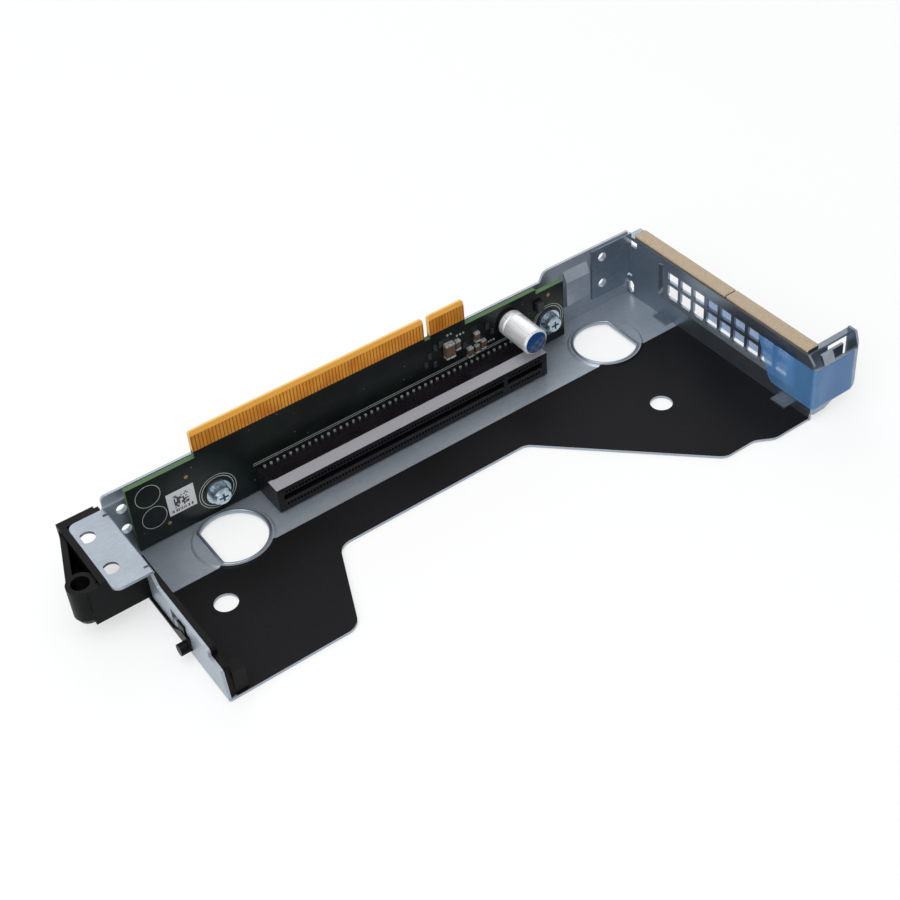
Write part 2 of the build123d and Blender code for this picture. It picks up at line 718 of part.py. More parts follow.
mouth_x = slot_x + mouth_start
mouths = [(mouth_x, mouth_long, long_pins), (mouth_x + mouth_long + mouth_key, mouth_short, short_pins)]
cell_xs = [x for start, length, pins in mouths for x in pin_row(start, length, pins)]
with BuildPart() as slot_housing:
    block((slot_x, slot_end_x), (slot_face_y, slot_face_y + band_depth), (slot_low, slot_top))
    block((slot_x, slot_end_x), (slot_face_y + band_depth, board_y),
          (slot_low + slot_base_lift, slot_top - slot_base_drop))
    for x in (slot_x, slot_end_x - slot_end):
        block((x, x + slot_end), (slot_face_y + band_depth, board_y), (slot_low, slot_top))
    mouth_span = (mouth_z - mouth_w / 2, mouth_z + mouth_w / 2)
    for start, length, pins in mouths:
        block((start, start + length), (slot_face_y, board_y - mouth_floor), mouth_span, Mode.SUBTRACT)
        with BuildSketch(Plane.YZ.offset(start)):
            polygon([
                (slot_face_y, mouth_span[0] - mouth_lead), (slot_face_y + mouth_lead, mouth_span[0]),
                (slot_face_y + mouth_lead, mouth_span[1]), (slot_face_y, mouth_span[1] + mouth_lead),
            ])
        extrude(amount=length, mode=Mode.SUBTRACT)
    # one pocket over and one under each contact
    cell_zs = (mouth_z - cell_offset, mouth_z + cell_offset)
    with Locations(*[Location((x, slot_face_y + cell_depth / 2, z)) for x in cell_xs for z in cell_zs]):
        Wedge(cell_w, cell_depth, cell_h, 0, 0, cell_w, 0, mode=Mode.SUBTRACT)


def contact_row(side):
    # a row of contact springs, each a ridge along one face of the mouth
    foot_z = mouth_z + side * mouth_w / 2
    ridge_z = foot_z - side * contact_t
    with BuildSketch(Plane.XZ.offset(mouth_floor - board_y), mode=Mode.PRIVATE) as row:
        for x in cell_xs:
            with BuildLine():
                Polyline((x - contact_w / 2, foot_z), (x + contact_w / 2, foot_z), (x, ridge_z), close=True)
            make_face()
    extrude(row.sketch, amount=contact_l)


with BuildPart() as slot_contacts_upper:
    contact_row(1)

with BuildPart() as slot_contacts_lower:
    contact_row(-1)

tail_count = int((slot_length - 2 * tail_start) / tail_pitch) + 1
tail_z = slot_top - slot_base_drop + tail_gap
with BuildPart() as slot_tails:
    with BuildSketch(Plane.XZ.offset(-board_y)):
        with Locations(*[(slot_x + tail_start + i * tail_pitch, tail_z) for i in range(tail_count)]):
            Rectangle(2 * tail_r, 2 * tail_r)
    extrude(amount=tail_h)

can_y = (board_y - seal_h - can_l, board_y - seal_h)
crimp_y = can_y[1] - crimp_from_seal
with BuildPart() as capacitor_can:
    with BuildSketch(Plane.XY.offset(can_z)):
        polygon([
            (can_x, can_y[0]), (can_x + can_r - can_round, can_y[0]), (can_x + can_r, can_y[0] + can_round),
            (can_x + can_r, crimp_y - crimp_w), (can_x + can_r - crimp_depth, crimp_y),
            (can_x + can_r, crimp_y + crimp_w), (can_x + can_r, can_y[1]), (can_x, can_y[1]),
        ])
    revolve(axis=Axis((can_x, 0, can_z), (0, 1, 0)))

with BuildPart() as capacitor_seal:
    rod("Y", (can_x, can_z), (can_y[1], board_y), can_r - seal_inset)

with BuildPart() as chip_capacitors:
    for dx, dz, w, l, h in chip_list:
        half = l / 2 - chip_end
        block((can_x + dx - w / 2 + chip_skin, can_x + dx + w / 2 - chip_skin),
              (board_y - h + chip_skin, board_y), (can_z + dz - half, can_z + dz + half))

with BuildPart() as chip_terminals:
    for dx, dz, w, l, h in chip_list:
        for side in (-1, 1):
            block((can_x + dx - w / 2, can_x + dx + w / 2), (board_y - h, board_y),
                  (can_z + dz + side * (l / 2 - chip_end), can_z + dz + side * l / 2))

with BuildPart() as chip_resistors:
    with Locations(*[(can_x + dx, board_y - resistor_size[2] / 2, can_z + dz) for dx, dz in resistor_places]):
        Box(resistor_size[0], resistor_size[2], resistor_size[1])

with BuildPart() as block_inductor:
    block_x = board_right_x - block_chip_inset
    with Locations((block_x, board_y - block_chip[2] / 2, right_screw_z + block_chip_over_screw)):
        Box(block_chip[0], block_chip[2], block_chip[1])
    chamfer(block_inductor.edges().group_by(Axis.Y)[0], solder_h)

with BuildPart() as solder_points:
    with BuildSketch(Plane.XZ.offset(-board_y)):
        with Locations(*[(can_x + dx, can_z + dz) for dx, dz in solder_places]):
            RegularPolygon(solder_r, 6)
    extrude(amount=solder_h)

with BuildPart() as board_label:
    block((card_x - label_from_card, card_x - label_from_card + label_w), (board_y - paper, board_y),
          (board_low + label_low, board_low + label_low + label_h))

spring_y = board_y - flat_washer_h
head_y = spring_y - spring_washer_h
with BuildPart() as flat_washers:
    for center in screws:
        rod("Y", center, (spring_y, board_y), flat_washer_r)
        rod("Y", center, (spring_y, board_y), board_hole_r, Mode.SUBTRACT)

with BuildPart() as spring_washers:
    for x, z in screws:
        rod("Y", (x, z), (head_y, spring_y), spring_washer_r)
        rod("Y", (x, z), (head_y, spring_y), board_hole_r, Mode.SUBTRACT)
        block((x + shank_r, x + spring_washer_r), (head_y, spring_y),
              (z - spring_gap / 2, z + spring_gap / 2), Mode.SUBTRACT)

with BuildPart() as board_screws:
    for center in screws:
        rod("Y", center, (head_y - head_h, head_y), head_r)
    chamfer(board_screws.edges().group_by(Axis.Y)[0], head_bevel)
    for x, z in screws:
        rod("Y", (x, z), (head_y, back_y), shank_r)
        for w, h in ((cross_l, cross_w), (cross_w, cross_l)):
            block((x - w / 2, x + w / 2), (head_y - head_h, head_y - head_h + cross_depth),
                  (z - h / 2, z + h / 2), Mode.SUBTRACT)

with BuildPart() as standoffs:
    with BuildSketch(Plane.XZ.offset(-back_y)):
        with Locations(*screws):
            RegularPolygon(standoff_r, 6)
            Circle(shank_r, mode=Mode.SUBTRACT)
    extrude(amount=standoff_l)

tray.part.label = "tray"
export_step(tray.part, "parts/tray.step")
rear_plate.part.label = "rear_plate"
export_step(rear_plate.part, "parts/rear_plate.step")
vent_bracket.part.label = "vent_bracket"
export_step(vent_bracket.part, "parts/vent_bracket.step")
insulator_film.part.label = "insulator_film"
export_step(insulator_film.part, "parts/insulator_film.step")
emi_gasket.part.label = "emi_gasket"
export_step(emi_gasket.part, "parts/emi_gasket.step")
touch_label.part.label = "touch_label"
export_step(touch_label.part, "parts/touch_label.step")
guide.part.label = "guide"
export_step(guide.part, "parts/guide.step")
circuit_board.part.label = "circuit_board"
export_step(circuit_board.part, "parts/circuit_board.step")
edge_contacts_front.part.label = "edge_contacts_front"
export_step(edge_contacts_front.part, "parts/edge_contacts_front.step")
edge_contacts_rear.part.label = "edge_contacts_rear"
export_step(edge_contacts_rear.part, "parts/edge_contacts_rear.step")
slot_housing.part.label = "slot_housing"
export_step(slot_housing.part, "parts/slot_housing.step")
slot_contacts_upper.part.label = "slot_contacts_upper"
export_step(slot_contacts_upper.part, "parts/slot_contacts_upper.step")
slot_contacts_lower.part.label = "slot_contacts_lower"
export_step(slot_contacts_lower.part, "parts/slot_contacts_lower.step")
slot_tails.part.label = "slot_tails"
export_step(slot_tails.part, "parts/slot_tails.step")
capacitor_can.part.label = "capacitor_can"
export_step(capacitor_can.part, "parts/capacitor_can.step")
capacitor_seal.part.label = "capacitor_seal"
export_step(capacitor_seal.part, "parts/capacitor_seal.step")
chip_capacitors.part.label = "chip_capacitors"
export_step(chip_capacitors.part, "parts/chip_capacitors.step")
chip_terminals.part.label = "chip_terminals"
export_step(chip_terminals.part, "parts/chip_terminals.step")
chip_resistors.part.label = "chip_resistors"
export_step(chip_resistors.part, "parts/chip_resistors.step")
block_inductor.part.label = "block_inductor"
export_step(block_inductor.part, "parts/block_inductor.step")
solder_points.part.label = "solder_points"
export_step(solder_points.part, "parts/solder_points.step")
board_label.part.label = "board_label"
export_step(board_label.part, "parts/board_label.step")
flat_washers.part.label = "flat_washers"
export_step(flat_washers.part, "parts/flat_washers.step")
spring_washers.part.label = "spring_washers"
export_step(spring_washers.part, "parts/spring_washers.step")
board_screws.part.label = "board_screws"
export_step(board_screws.part, "parts/board_screws.step")
standoffs.part.label = "standoffs"
export_step(standoffs.part, "parts/standoffs.step")
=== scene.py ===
import bpy
import math
from mathutils import Matrix, Vector


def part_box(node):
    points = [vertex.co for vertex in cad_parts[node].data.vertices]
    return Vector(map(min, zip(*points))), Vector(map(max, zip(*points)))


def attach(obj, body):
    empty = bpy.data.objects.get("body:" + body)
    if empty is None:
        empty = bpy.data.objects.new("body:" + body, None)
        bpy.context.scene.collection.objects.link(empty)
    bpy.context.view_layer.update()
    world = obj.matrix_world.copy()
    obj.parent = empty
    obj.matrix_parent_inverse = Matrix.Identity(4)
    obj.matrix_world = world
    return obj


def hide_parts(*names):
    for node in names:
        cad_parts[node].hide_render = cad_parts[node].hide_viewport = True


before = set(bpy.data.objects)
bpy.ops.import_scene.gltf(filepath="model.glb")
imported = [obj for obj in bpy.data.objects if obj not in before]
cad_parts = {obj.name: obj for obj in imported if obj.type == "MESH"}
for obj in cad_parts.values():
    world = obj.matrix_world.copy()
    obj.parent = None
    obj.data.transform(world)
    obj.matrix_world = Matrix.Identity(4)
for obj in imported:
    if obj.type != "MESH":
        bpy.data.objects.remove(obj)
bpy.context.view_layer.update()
mm = 0.001
perMetre = 1000     # millimetres in a metre: a pattern's scale is this over its size in millimetres


print("frame loaded", len(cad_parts), "nodes")

# camera as in the photograph: seen from the front left, above, with the frame cut off centre
cameraSetup = {
    "azimuth": -33.942,
    "elevation": 39.584,
    "roll": -3.885,
    "place": (-0.09269, -0.26257, 0.29339),
    "lens": 63.34,
    "sensor": 36.0,
    "shift": (-0.0457, -0.0904),
    "clip": (0.01, 20),
}


def addCamera(setup):
    a, e, r = (math.radians(setup[k]) for k in ("azimuth", "elevation", "roll"))
    back = Vector((math.sin(a) * math.cos(e), -math.cos(a) * math.cos(e), math.sin(e)))
    side = Vector((math.cos(a), math.sin(a), 0))
    up = back.cross(side)
    turn = Matrix((side, up, back)).transposed() @ Matrix.Rotation(r, 3, "Z")
    data = bpy.data.cameras.new("photoCamera")
    data.lens, data.sensor_width = setup["lens"], setup["sensor"]
    data.shift_x, data.shift_y = setup["shift"]
    data.clip_start, data.clip_end = setup["clip"]
    camera = bpy.data.objects.new("photoCamera", data)
    camera.matrix_world = Matrix.Translation(setup["place"]) @ turn.to_4x4()
    bpy.context.scene.collection.objects.link(camera)
    bpy.context.scene.camera = camera


addCamera(cameraSetup)
print("camera placed")


# colours and nodes
def hexColor(code):
    parts = [int(code[i:i + 2], 16) / 255 for i in (1, 3, 5)]
    return tuple(c / 12.92 if c <= 0.04045 else ((c + 0.055) / 1.055) ** 2.4 for c in parts) + (1.0,)


def newMaterial(name):
    material = bpy.data.materials.new(name)
    material.use_nodes = True
    return material, material.node_tree.nodes["Principled BSDF"]


def addNode(material, kind, settings=None, inputs=None):
    # settings are the node's own values; an input is a value, a hex colour, or a node or socket to link from
    node = material.node_tree.nodes.new("ShaderNode" + kind)
    for key, value in (settings or {}).items():
        setattr(node, key, value)
    feed(material, node, inputs or {})
    return node


def feed(material, node, inputs):
    for key, value in inputs.items():
        if isinstance(value, bpy.types.Node):
            value = value.outputs[0]
        if isinstance(value, bpy.types.NodeSocket):
            material.node_tree.links.new(value, node.inputs[key])
        else:
            node.inputs[key].default_value = hexColor(value) if isinstance(value, str) else value


# floor, lamps and world
studio = {
    "floorZ": -0.0002,
    "floorSize": 6.0,
    "floorColor": "#f2f3f4",
    "floorRough": 0.9,
    "cameraWhite": 0.6,      # share of plain white that the camera and mirrored rays see in the floor
    "fill": 0.5,             # what the sky gives to matt surfaces
    "skyHigh": 0.68,         # the sky over the lamps, as metal shows it; it is 1 down at the horizon
    "skyBand": (0.2, 0.55),  # heights between which the sky darkens
    "lampAim": (0.06, 0, 0),
    "topLamp": {"place": (-0.25, -0.1, 1.1), "size": 1.2, "power": 8.0},
    "leftLamp": {"place": (-1.1, -0.5, 0.8), "size": 1.0, "power": 6.0},
    "backLamp": {"place": (0.6, 1.1, 0.7), "size": 1.0, "power": 4.0},
}


def addFloor(setup):
    bpy.ops.object.select_all(action="DESELECT")
    bpy.ops.mesh.primitive_plane_add(size=setup["floorSize"], location=(0, 0, setup["floorZ"]))
    floor = bpy.context.object
    floor.name = "studioFloor"
    material, shader = newMaterial("paintedStudioFloor")
    feed(material, shader, {"Base Color": setup["floorColor"], "Roughness": setup["floorRough"]})
    path = addNode(material, "LightPath")
    mirrored = addNode(material, "Math", {"operation": "MAXIMUM"},
                       {0: path.outputs["Is Glossy Ray"], 1: path.outputs["Is Transmission Ray"]})
    seen = addNode(material, "Math", {"operation": "MAXIMUM"}, {0: path.outputs["Is Camera Ray"], 1: mirrored})
    share = addNode(material, "Math", {"operation": "MULTIPLY"}, {0: seen, 1: setup["cameraWhite"]})
    white = addNode(material, "Emission", inputs={"Color": (1, 1, 1, 1), "Strength": 1.0})
    both = addNode(material, "MixShader", inputs={0: share, 1: shader, 2: white})
    feed(material, material.node_tree.nodes["Material Output"], {"Surface": both})
    floor.data.materials.append(material)


def addLamp(name, setup, aim):
    data = bpy.data.lights.new(name, "AREA")
    data.size, data.energy = setup["size"], setup["power"]
    lamp = bpy.data.objects.new(name, data)
    lamp.location = setup["place"]
    lamp.rotation_euler = (Vector(aim) - Vector(setup["place"])).to_track_quat("-Z", "Y").to_euler()
    bpy.context.scene.collection.objects.link(lamp)


def addWorld(setup):
    world = bpy.data.worlds.new("studioWorld")
    bpy.context.scene.world = world
    world.use_nodes = True
    path = addNode(world, "LightPath")
    fill = world.node_tree.nodes["Background"]
    feed(world, fill, {"Color": (1, 1, 1, 1), "Strength": setup["fill"]})
    ray = addNode(world, "TexCoord").outputs["Generated"]
    height = addNode(world, "SeparateXYZ", inputs={0: ray}).outputs["Z"]
    level = addNode(world, "MapRange", inputs={
        "Value": height, "From Min": setup["skyBand"][0], "From Max": setup["skyBand"][1],
        "To Min": 1.0, "To Max": setup["skyHigh"]})
    sky = addNode(world, "Background", inputs={"Strength": level})
    direct = addNode(world, "Math", {"operation": "MAXIMUM"},
                     {0: path.outputs["Is Camera Ray"], 1: path.outputs["Is Glossy Ray"]})
    seen = addNode(world, "Math", {"operation": "MAXIMUM"}, {0: direct, 1: path.outputs["Is Transmission Ray"]})
    mix = addNode(world, "MixShader", inputs={0: seen, 1: fill, 2: sky})
    feed(world, world.node_tree.nodes["World Output"], {"Surface": mix})


addFloor(studio)
addWorld(studio)
for lampName in ("topLamp", "leftLamp", "backLamp"):
    addLamp(lampName, studio[lampName], studio["lampAim"])
bpy.context.scene.view_settings.view_transform = "Standard"
print("studio lit")

noiseSpan = {"From Min": 0.3, "From Max": 0.7}      # most of a noise lies between these two values
turnedTo = 0.5      # a face counts as turned along an axis when its normal has more than this of it


def dress(node, material):
    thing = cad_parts[node]
    thing.data.materials.clear()
    thing.data.materials.append(material)


# sheet steel, rolled and plated with zinc: a cold grey that mirrors its surroundings softly, in faint
# streaks, which are drawn coarser than rolling marks are, so that they show
steelLook = {
    "pale": "#a9b2bc", "deep": "#9da7b2", "streakMm": 0.7, "stretch": (0.4, 1, 1), "cloudMm": 9.0,
    "grainMm": 0.6, "depthMm": 0.0012, "bump": 0.6, "contrast": (0.15, 0.4),
    "roughLow": 0.36, "roughHigh": 0.46, "metal": 0.6,      # its passivated skin scatters a share of the light
}
# the bracket's strip has a brighter finish, so it shows the dark film below it more clearly
bracketLook = dict(steelLook, pale="#9aa5b0", deep="#8c97a3", roughLow=0.28, roughHigh=0.36, metal=0.92)


def zincSteel(name, look):
    material, shader = newMaterial(name)
    place = addNode(material, "TexCoord").outputs["Object"]
    along = addNode(material, "Mapping", inputs={"Vector": place, "Scale": look["stretch"]})
    clouds = addNode(material, "TexNoise",
                     inputs={"Vector": place, "Scale": perMetre / look["cloudMm"], "Detail": 4.0})
    streaks = addNode(material, "TexNoise",
                      inputs={"Vector": along, "Scale": perMetre / look["streakMm"], "Detail": 2.0})
    grain = addNode(material, "TexNoise",
                    inputs={"Vector": place, "Scale": perMetre / look["grainMm"], "Detail": 3.0})
    mottle = addNode(material, "Math", {"operation": "MULTIPLY"}, {0: clouds, 1: streaks})
    low, high = look["contrast"]
    share = addNode(material, "MapRange", inputs={"Value": mottle, "From Min": low, "From Max": high})
    color = addNode(material, "Mix", {"data_type": "RGBA"}, {0: share, 6: look["deep"], 7: look["pale"]})
    rough = addNode(material, "MapRange", inputs={
        "Value": grain, **noiseSpan, "To Min": look["roughLow"], "To Max": look["roughHigh"]})
    bump = addNode(material, "Bump", inputs={
        "Height": grain, "Distance": look["depthMm"] * mm, "Strength": look["bump"]})
    feed(material, shader, {"Base Color": color.outputs[2], "Roughness": rough, "Normal": bump,
                            "Metallic": look["metal"]})
    return material


# polyester film, printed matt black: deep, even, almost without gloss, with fine dust drawn coarser
filmLook = {
    "base": "#0b0b0e", "dust": "#16161b", "dustMm": 0.3, "waveMm": 30.0, "grainMm": 0.4, "depthMm": 0.01,
    "bump": 0.5, "contrast": (0.2, 0.45), "roughLow": 0.47, "roughHigh": 0.61, "specular": 0.15,
}


def blackFilm(name, look):
    material, shader = newMaterial(name)
    place = addNode(material, "TexCoord").outputs["Object"]
    dust = addNode(material, "TexNoise",
                   inputs={"Vector": place, "Scale": perMetre / look["dustMm"], "Detail": 3.0})
    wave = addNode(material, "TexNoise",
                   inputs={"Vector": place, "Scale": perMetre / look["waveMm"], "Detail": 1.0})
    grain = addNode(material, "TexNoise",
                    inputs={"Vector": place, "Scale": perMetre / look["grainMm"], "Detail": 2.0})
    mottle = addNode(material, "Math", {"operation": "MULTIPLY"}, {0: dust, 1: wave})
    low, high = look["contrast"]
    share = addNode(material, "MapRange", inputs={"Value": mottle, "From Min": low, "From Max": high})
    color = addNode(material, "Mix", {"data_type": "RGBA"}, {0: share, 6: look["base"], 7: look["dust"]})
    rough = addNode(material, "MapRange", inputs={
        "Value": wave, **noiseSpan, "To Min": look["roughLow"], "To Max": look["roughHigh"]})
    bump = addNode(material, "Bump", inputs={
        "Height": grain, "Distance": look["depthMm"] * mm, "Strength": look["bump"]})
    feed(material, shader, {"Base Color": color.outputs[2], "Roughness": rough, "Normal": bump,
                            "Specular IOR Level": look["specular"]})
    return material


# engineering plastic, moulded black: near black with a dull satin and the fine pits of the mould
plasticLook = {
    "base": "#060608", "pale": "#0e0f11", "grainMm": 0.35, "flowMm": 8.0, "depthMm": 0.015, "bump": 0.5,
    "roughLow": 0.36, "roughHigh": 0.48, "specular": 0.12,
}
# the slot's plastic is glossier, and the front of its top has a painted sheen, a lighter colour for the sky it
# reflects, this far back from the mouth
slotLook = {
    "base": "#0e0c10", "pale": "#191619", "grainMm": 0.5, "flowMm": 8.0, "depthMm": 0.015, "bump": 0.5,
    "roughLow": 0.24, "roughHigh": 0.36, "specular": 0.3,
    "paintedSheen": "#9c9ca3", "paintedSheenMm": 4.6, "topMm": 0.6,
}


def mouldedPlastic(name, look):
    material, shader = newMaterial(name)
    place = addNode(material, "TexCoord").outputs["Object"]
    grain = addNode(material, "TexNoise",
                    inputs={"Vector": place, "Scale": perMetre / look["grainMm"], "Detail": 3.0})
    flow = addNode(material, "TexNoise",
                   inputs={"Vector": place, "Scale": perMetre / look["flowMm"], "Detail": 2.0})
    share = addNode(material, "MapRange", inputs={"Value": flow, **noiseSpan})
    color = addNode(material, "Mix", {"data_type": "RGBA"}, {0: share, 6: look["base"], 7: look["pale"]})
    # painted sheen: upward faces at the front of the top are painted lighter, standing in for the sky's reflection
    if "paintedSheen" in look:
        low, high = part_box("slot_housing")
        parts = addNode(material, "SeparateXYZ", inputs={0: place})
        normal = addNode(material, "SeparateXYZ", inputs={0: addNode(material, "NewGeometry").outputs["Normal"]})
        front = addNode(material, "Math", {"operation": "LESS_THAN"},
                        {0: parts.outputs["Y"], 1: low[1] + look["paintedSheenMm"] * mm})
        onTop = addNode(material, "Math", {"operation": "GREATER_THAN"},
                        {0: parts.outputs["Z"], 1: high[2] - look["topMm"] * mm})
        up = addNode(material, "Math", {"operation": "GREATER_THAN"}, {0: normal.outputs["Z"], 1: turnedTo})
        paintedSheenBand = addNode(material, "Math", {"operation": "MULTIPLY"}, {0: front, 1: onTop})
        paintedSheenBand = addNode(material, "Math", {"operation": "MULTIPLY"}, {0: paintedSheenBand, 1: up})
        color = addNode(material, "Mix", {"data_type": "RGBA"}, {0: paintedSheenBand, 6: color.outputs[2], 7: look["paintedSheen"]})
    rough = addNode(material, "MapRange", inputs={
        "Value": grain, **noiseSpan, "To Min": look["roughLow"], "To Max": look["roughHigh"]})
    bump = addNode(material, "Bump", inputs={
        "Height": grain, "Distance": look["depthMm"] * mm, "Strength": look["bump"]})
    feed(material, shader, {"Base Color": color.outputs[2], "Roughness": rough, "Normal": bump,
                            "Specular IOR Level": look["specular"]})
    return material


# polycarbonate film, tinted blue and glossy: what lies under it shows through, darker and blue
blueLook = {
    "base": "#70a6dc", "deep": "#4480c4", "alpha": 0.52, "rough": 0.12, "waveMm": 7.0, "stretch": (1, 1, 0.2),
    "depthMm": 0.08, "bump": 0.4,       # slow waves from the hand that laid it on
}


def blueFilm(name, look):
    material, shader = newMaterial(name)
    place = addNode(material, "TexCoord").outputs["Object"]
    along = addNode(material, "Mapping", inputs={"Vector": place, "Scale": look["stretch"]})
    wave = addNode(material, "TexNoise",
                   inputs={"Vector": along, "Scale": perMetre / look["waveMm"], "Detail": 1.0})
    share = addNode(material, "MapRange", inputs={"Value": wave, **noiseSpan})
    color = addNode(material, "Mix", {"data_type": "RGBA"}, {0: share, 6: look["deep"], 7: look["base"]})
    bump = addNode(material, "Bump", inputs={
        "Height": wave, "Distance": look["depthMm"] * mm, "Strength": look["bump"]})
    feed(material, shader, {"Base Color": color.outputs[2], "Normal": bump, "Alpha": look["alpha"],
                            "Roughness": look["rough"]})
    return material


# glass laminate with green solder mask: dark glossy green over faint copper, sawn edges, white print
boardLook = {
    "mask": "#080f0e", "copper": "#0f1c18", "edge": "#4c6a48", "print": "#c9d2cc", "padGold": "#9a7a42",
    "tongue": "#a8591a", "bevel": "#e0a040", "tongueEdge": "#e6bd70",
    "traceMm": 0.9, "areaMm": 9.0, "viaMm": 2.4, "viaR": 0.16, "rough": 0.3, "edgeRough": 0.7,
    "specular": 0.3, "depthMm": 0.02, "bump": 0.4, "ink": 0.75, "lineW": 0.16, "bevelMm": 0.1,
    "brickRow": 0.25, "brickLong": 2.2, "brickJoint": 0.06, "brickShift": 0.37, "areaSpan": (0.45, 0.55),
    # each ring: centre x and z, radius, line width
    "rings": [
        (15.25, 8.1, 4.7, 0.22), (15.25, 8.1, 5.4, 0.18), (125.1, 9.4, 4.7, 0.22), (125.1, 9.4, 5.4, 0.18),
        (-3.35, 17.4, 3.45, 0.18), (-2.9, 9.7, 3.45, 0.18),
    ],
    "dots": [(7.6, 17.6, 0.55), (0.6, 5.5, 0.55), (125.4, 18.4, 0.6)],      # centre x and z, radius
    "lines": [(26.3, 116.5, 10.15), (26.3, 116.5, 10.75)],                  # from x, to x, at z
}


def laminateBoard(name, look):
    material, shader = newMaterial(name)
    place = addNode(material, "TexCoord").outputs["Object"]
    parts = addNode(material, "SeparateXYZ", inputs={0: place})
    x, z = parts.outputs["X"], parts.outputs["Z"]
    normal = addNode(material, "SeparateXYZ", inputs={0: addNode(material, "NewGeometry").outputs["Normal"]})
    nearFace = addNode(material, "Math", {"operation": "LESS_THAN"}, {0: normal.outputs["Y"], 1: -turnedTo})
    sawn = addNode(material, "Math", {"operation": "COMPARE"}, {0: normal.outputs["Y"], 1: 0.0, 2: turnedTo})

    # traces as the joints of long bricks, one row per traceMm, and only in some areas
    onFace = addNode(material, "Mapping", inputs={"Vector": place, "Rotation": (math.radians(90), 0, 0)})
    row = look["brickRow"]
    trace = addNode(material, "TexBrick", {"offset": look["brickShift"]}, {
        "Vector": onFace, "Scale": perMetre / look["traceMm"] * row, "Mortar Size": look["brickJoint"],
        "Row Height": row, "Brick Width": look["brickLong"], "Color1": (0, 0, 0, 1),
        "Color2": (0.35, 0.35, 0.35, 1), "Mortar": (1, 1, 1, 1)})
    clouds = addNode(material, "TexNoise",
                     inputs={"Vector": place, "Scale": perMetre / look["areaMm"], "Detail": 1.0})
    low, high = look["areaSpan"]
    area = addNode(material, "MapRange", inputs={"Value": clouds, "From Min": low, "From Max": high})
    traced = addNode(material, "Math", {"operation": "MULTIPLY"}, {0: trace, 1: area})
    color = addNode(material, "Mix", {"data_type": "RGBA"}, {0: traced, 6: look["mask"], 7: look["copper"]})
    cells = addNode(material, "TexVoronoi", {"feature": "F1"}, {"Vector": place, "Scale": perMetre / look["viaMm"]})
    via = addNode(material, "Math", {"operation": "LESS_THAN"}, {0: cells, 1: look["viaR"] / look["viaMm"]})
    via = addNode(material, "Math", {"operation": "MULTIPLY"}, {0: via, 1: area})
    color = addNode(material, "Mix", {"data_type": "RGBA"}, {0: via, 6: color.outputs[2], 7: look["padGold"]})

    # print and gold spots, on the face towards the camera
    inked, dotted = 0.0, 0.0
    for centerX, centerZ, radius, width in look["rings"] + [(*dot, None) for dot in look["dots"]]:
        across = addNode(material, "Math", {"operation": "SUBTRACT"}, {0: x, 1: centerX * mm})
        up = addNode(material, "Math", {"operation": "SUBTRACT"}, {0: z, 1: centerZ * mm})
        spot = addNode(material, "CombineXYZ", inputs={0: across, 1: up})
        away = addNode(material, "VectorMath", {"operation": "LENGTH"}, {0: spot}).outputs["Value"]
        if width:
            ring = addNode(material, "Math", {"operation": "COMPARE"},
                           {0: away, 1: radius * mm, 2: width / 2 * mm})
            inked = addNode(material, "Math", {"operation": "MAXIMUM"}, {0: inked, 1: ring})
        else:
            dot = addNode(material, "Math", {"operation": "LESS_THAN"}, {0: away, 1: radius * mm})
            dotted = addNode(material, "Math", {"operation": "MAXIMUM"}, {0: dotted, 1: dot})
    for lowX, highX, lineZ in look["lines"]:
        along = addNode(material, "Math", {"operation": "COMPARE"},
                        {0: x, 1: (lowX + highX) / 2 * mm, 2: (highX - lowX) / 2 * mm})
        level = addNode(material, "Math", {"operation": "COMPARE"}, {0: z, 1: lineZ * mm, 2: look["lineW"] / 2 * mm})
        line = addNode(material, "Math", {"operation": "MULTIPLY"}, {0: along, 1: level})
        inked = addNode(material, "Math", {"operation": "MAXIMUM"}, {0: inked, 1: line})
    inked = addNode(material, "Math", {"operation": "MULTIPLY"}, {0: inked, 1: nearFace})
    inked = addNode(material, "Math", {"operation": "MULTIPLY"}, {0: inked, 1: look["ink"]})
    color = addNode(material, "Mix", {"data_type": "RGBA"}, {0: inked, 6: color.outputs[2], 7: look["print"]})
    dotted = addNode(material, "Math", {"operation": "MULTIPLY"}, {0: dotted, 1: nearFace})
    color = addNode(material, "Mix", {"data_type": "RGBA"}, {0: dotted, 6: color.outputs[2], 7: look["padGold"]})

    # bare laminate between the gold pads, and the gilded bevel above them
    padLow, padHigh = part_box("edge_contacts_front")
    span = addNode(material, "Math", {"operation": "COMPARE"},
                   {0: x, 1: (padLow[0] + padHigh[0]) / 2, 2: (padHigh[0] - padLow[0]) / 2 + mm})
    zones = []
    for fromZ, shade in ((padLow[2], look["tongue"]), (padHigh[2] - look["bevelMm"] * mm, look["bevel"])):
        above = addNode(material, "Math", {"operation": "GREATER_THAN"}, {0: z, 1: fromZ})
        zones.append(addNode(material, "Math", {"operation": "MULTIPLY"}, {0: span, 1: above}))
        color = addNode(material, "Mix", {"data_type": "RGBA"}, {0: zones[-1], 6: color.outputs[2], 7: shade})
    edge = addNode(material, "Mix", {"data_type": "RGBA"}, {0: zones[0], 6: look["edge"], 7: look["tongueEdge"]})
    color = addNode(material, "Mix", {"data_type": "RGBA"}, {0: sawn, 6: color.outputs[2], 7: edge.outputs[2]})
    rough = addNode(material, "MapRange", inputs={
        "Value": sawn, "To Min": look["rough"], "To Max": look["edgeRough"]})
    bump = addNode(material, "Bump", inputs={
        "Height": trace, "Distance": look["depthMm"] * mm, "Strength": look["bump"]})
    feed(material, shader, {"Base Color": color.outputs[2], "Roughness": rough, "Normal": bump,
                            "Specular IOR Level": look["specular"]})
    return material


# gold on copper pads: a warm mirror, a little scratched where a socket wipes it, drawn coarser
goldLook = {
    "pale": "#f2ae40", "deep": "#dc8a28", "scratchMm": 0.6, "stretch": (1, 1, 0.05), "toneMm": 6.0,
    "roughLow": 0.28, "roughHigh": 0.46, "metal": 0.65,
}


